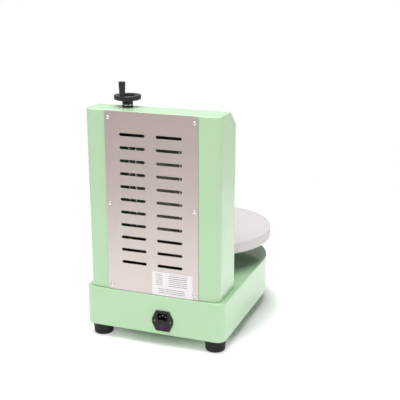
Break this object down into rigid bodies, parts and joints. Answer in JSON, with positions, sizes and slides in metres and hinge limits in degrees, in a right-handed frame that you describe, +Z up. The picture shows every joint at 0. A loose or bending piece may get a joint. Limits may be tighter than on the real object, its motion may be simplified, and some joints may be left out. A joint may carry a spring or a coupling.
{
  "type": "cake coating turntable machine",
  "caption": "Counter-top electric turntable with a rear lift tower, hand wheel and adjustable scraper arm for coating round cakes.",
  "frame": {"origin": "on the floor under the middle of the machine's box", "axes": "+X to the machine's right seen from the front, -Y towards the user, +Z up"},
  "size_m": [0.368, 0.512, 0.6141],
  "materials": {
    "mint_paint": "glossy powder coat, pale mint green",
    "stainless": "satin stainless sheet",
    "disc_grey": "matt light grey turned aluminium",
    "black_plastic": "moulded, slightly glossy",
    "black_rubber": "matt moulded rubber",
    "bright_steel": "ground and polished",
    "zinc_steel": "zinc plated",
    "aluminium": "machined",
    "brass": "turned brass",
    "black_steel": "black oxide, satin",
    "label_white": "white film",
    "board_green": "solder mask",
    "display_glass": "dark tinted window",
    "button_green": "glossy",
    "button_red": "glossy"
  },
  "bodies": {
    "housing": {"base_shell": "mint_paint", "tower_shell": "mint_paint", "base_plate": "mint_paint", "rear_cover": "stainless", "inlet_body": "black_plastic", "control_panel": "black_plastic", "foot_rear_left": "black_rubber", "foot_rear_right": "black_rubber", "foot_front_left": "black_rubber", "foot_front_right": "black_rubber", "drive_belt": "black_rubber", "cover_screw_1": "bright_steel", "cover_screw_2": "bright_steel", "cover_screw_3": "bright_steel", "cover_screw_4": "bright_steel", "cover_screw_5": "bright_steel", "cover_screw_6": "bright_steel", "inlet_pin_live": "bright_steel", "inlet_pin_neutral": "bright_steel", "inlet_pin_earth": "bright_steel", "spindle_bearing_upper": "bright_steel", "spindle_bearing_lower": "bright_steel", "guide_rod_left": "bright_steel", "guide_rod_right": "bright_steel", "power_supply": "zinc_steel", "spindle_housing": "aluminium", "drive_motor": "black_steel", "screw_block_lower": "black_steel", "screw_block_upper": "black_steel", "screw_collar": "black_steel", "rating_label": "label_white", "control_board": "board_green", "display_window": "display_glass"},
    "turntable": {"turntable_disc": "disc_grey", "turntable_hub": "aluminium", "spindle_shaft": "bright_steel", "spindle_pulley": "aluminium"},
    "motor_rotor": {"motor_pulley": "bright_steel"},
    "screw": {"lead_screw": "bright_steel", "handwheel": "black_plastic", "wheel_washer": "bright_steel", "grip_bolt": "bright_steel"},
    "grip": {"handle_grip": "black_plastic"},
    "carriage": {"lift_carriage": "black_steel", "lead_nut": "brass", "rod_bush_left": "brass", "rod_bush_right": "brass", "lift_bracket": "zinc_steel", "spreader_arm": "stainless", "top_blade": "stainless", "blade_rail": "stainless"},
    "slider": {"blade_slider": "black_plastic"},
    "scraper": {"side_blade": "stainless"},
    "rail_clamp": {"rail_knob": "black_plastic"},
    "blade_clamp": {"blade_knob": "black_plastic"},
    "speed_control": {"speed_knob": "black_plastic"},
    "start_key": {"start_button": "button_green"},
    "stop_key": {"stop_button": "button_red"},
    "mains_rocker": {"rocker_switch": "black_plastic"},
    "fuse_holder": {"fuse_drawer": "black_plastic"}
  },
  "joints": [
    {"name": "turntable_spin", "type": "hinge", "parent": "housing", "child": "turntable", "pos_m": [0, -0.072, 0.18], "axis": [0, 0, 1], "continuous": true},
    {"name": "motor_spin", "type": "hinge", "parent": "housing", "child": "motor_rotor", "pos_m": [0, 0.075, 0.056], "axis": [0, 0, 1], "continuous": true},
    {"name": "handwheel_turn", "type": "hinge", "parent": "housing", "child": "screw", "pos_m": [0.082, 0.1865, 0.555], "axis": [0, 0, 1], "range_deg": [-4770.5, 0]},
    {"name": "lift", "type": "slide", "parent": "housing", "child": "carriage", "axis": [0, 0, 1], "range_m": [0, 0.106]},
    {"name": "grip_spin", "type": "hinge", "parent": "screw", "child": "grip", "pos_m": [0.084, 0.2099, 0.6], "axis": [0, 0, 1], "continuous": true},
    {"name": "slider_travel", "type": "slide", "parent": "carriage", "child": "slider", "axis": [1, 0, 0], "range_m": [-0.05, 0.02]},
    {"name": "scraper_height", "type": "slide", "parent": "slider", "child": "scraper", "axis": [0, 0, 1], "range_m": [0, 0.06]},
    {"name": "rail_clamp_turn", "type": "hinge", "parent": "slider", "child": "rail_clamp", "pos_m": [0.132, -0.072, 0.35], "axis": [0, 0, 1], "range_deg": [0, 360]},
    {"name": "blade_clamp_turn", "type": "hinge", "parent": "slider", "child": "blade_clamp", "pos_m": [0.132, -0.098, 0.33015], "axis": [0, -1, 0], "range_deg": [0, 360]},
    {"name": "speed_turn", "type": "hinge", "parent": "housing", "child": "speed_control", "pos_m": [0.078, 0.14534, 0.53613], "axis": [0, -0.6508, 0.7593], "range_deg": [-270, 0]},
    {"name": "start_press", "type": "slide", "parent": "housing", "child": "start_key", "axis": [0, 0.6508, -0.7593], "range_m": [0, 0.0015], "stiffness_N_per_m": 600},
    {"name": "stop_press", "type": "slide", "parent": "housing", "child": "stop_key", "axis": [0, 0.6508, -0.7593], "range_m": [0, 0.0015], "stiffness_N_per_m": 600},
    {"name": "mains_rock", "type": "hinge", "parent": "housing", "child": "mains_rocker", "pos_m": [-0.026, 0.2536, 0.0517], "axis": [1, 0, 0], "range_deg": [-24, 0]},
    {"name": "fuse_pull", "type": "slide", "parent": "housing", "child": "fuse_holder", "axis": [0, 1, 0], "range_m": [0, 0.018]}
  ],
  "couplings": [
    {"joint": "motor_spin", "follows": "turntable_spin", "ratio": 3},
    {"joint": "handwheel_turn", "follows": "lift", "rad_per_m": -785.4}
  ]
}
